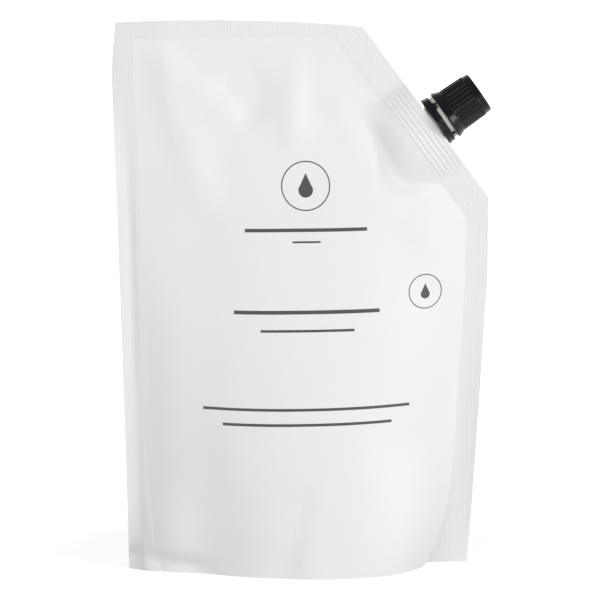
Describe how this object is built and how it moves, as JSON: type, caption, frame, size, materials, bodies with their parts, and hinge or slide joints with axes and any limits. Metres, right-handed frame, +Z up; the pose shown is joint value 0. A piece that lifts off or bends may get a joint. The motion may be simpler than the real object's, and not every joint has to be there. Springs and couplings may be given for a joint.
{
  "type": "hand soap refill pack",
  "caption": "Filled white stand-up refill pouch with a folded base, a cut corner and an angled spout under a ribbed black screw cap.",
  "frame": {"origin": "on the floor under the middle of the base, on the flat patch of the base fold", "axes": "+Z up, -Y towards the printed front, +X towards the spout's side"},
  "size_m": [0.1609, 0.0536, 0.236],
  "materials": {
    "film": "matte laminated film",
    "natural_plastic": "natural moulding",
    "black_plastic": "gloss moulding",
    "liner_foam": "plain sealing disc"
  },
  "bodies": {
    "pack": {"pouch": "film", "spout": "natural_plastic", "tamper_band": "black_plastic"},
    "liner": {"cap_liner": "liner_foam"},
    "cap": {"cap": "black_plastic"}
  },
  "joints": [
    {"name": "cap_turn", "type": "hinge", "parent": "liner", "child": "cap", "pos_m": [0.05708, 0, 0.19135], "axis": [0.8229, 0, 0.5682], "range_deg": [0, 540]},
    {"name": "cap_lift", "type": "slide", "parent": "pack", "child": "liner", "axis": [0.8229, 0, 0.5682], "range_m": [0, 0.0045]}
  ],
  "couplings": [
    {"joint": "cap_turn", "follows": "cap_lift", "rad_per_m": 2094.4}
  ]
}
